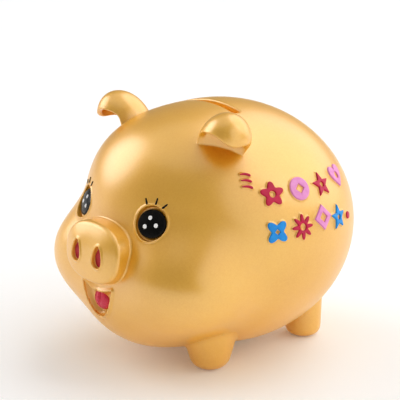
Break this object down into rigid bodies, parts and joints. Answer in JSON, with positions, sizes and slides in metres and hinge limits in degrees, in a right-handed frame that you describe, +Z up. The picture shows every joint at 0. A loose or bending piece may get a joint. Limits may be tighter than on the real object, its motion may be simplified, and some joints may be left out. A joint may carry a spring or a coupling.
{
  "type": "coin bank",
  "caption": "Standing pig coin bank: a hollow lacquered shell with a coin slot across its back, hooded ears, drum snout, raised flank ornaments and a pull-out belly stopper.",
  "frame": {"origin": "on the floor the pig stands on, under the middle of its length and width", "axes": "+Z up, -Y the way the snout points, +X the pig's left flank"},
  "size_m": [0.1646, 0.1996, 0.1556],
  "materials": {
    "gold_lacquer": "satin metallic gold lacquer on moulded plastic",
    "nostril_red": "satin red paint",
    "tongue_pink": "satin pink paint",
    "eye_black": "polished black",
    "eye_white": "gloss white",
    "crimson_paint": "satin crimson paint",
    "pink_paint": "satin pink paint",
    "blue_paint": "satin blue paint",
    "stopper_rubber": "matt moulded rubber"
  },
  "bodies": {
    "bank": {"body_shell": "gold_lacquer", "snout": "gold_lacquer", "tongue": "tongue_pink", "tail": "gold_lacquer", "front_left_foot": "gold_lacquer", "front_right_foot": "gold_lacquer", "rear_left_foot": "gold_lacquer", "rear_right_foot": "gold_lacquer", "left_ear": "gold_lacquer", "left_nostril_inlay": "nostril_red", "left_eye_seat": "gold_lacquer", "left_eye_disc": "eye_black", "left_eye_highlight_1": "eye_white", "left_eye_highlight_2": "eye_white", "left_eye_highlight_3": "eye_white", "left_eye_lash_1": "eye_black", "left_eye_lash_2": "eye_black", "left_eye_lash_3": "eye_black", "right_ear": "gold_lacquer", "right_nostril_inlay": "nostril_red", "right_eye_seat": "gold_lacquer", "right_eye_disc": "eye_black", "right_eye_highlight_1": "eye_white", "right_eye_highlight_2": "eye_white", "right_eye_highlight_3": "eye_white", "right_eye_lash_1": "eye_black", "right_eye_lash_2": "eye_black", "right_eye_lash_3": "eye_black", "flank_blossom": "crimson_paint", "flank_coin_ring": "pink_paint", "flank_star": "crimson_paint", "flank_heart": "pink_paint", "flank_clover": "blue_paint", "flank_burst": "crimson_paint", "flank_lozenge": "pink_paint", "flank_small_star": "blue_paint", "flank_dot": "crimson_paint", "flank_flick_1": "crimson_paint", "flank_flick_2": "crimson_paint", "flank_flick_3": "crimson_paint"},
    "stopper": {"belly_stopper": "stopper_rubber"}
  },
  "joints": [
    {"name": "stopper_pull", "type": "slide", "parent": "bank", "child": "stopper", "axis": [0, 0, -1], "range_m": [0, 0.03]}
  ]
}
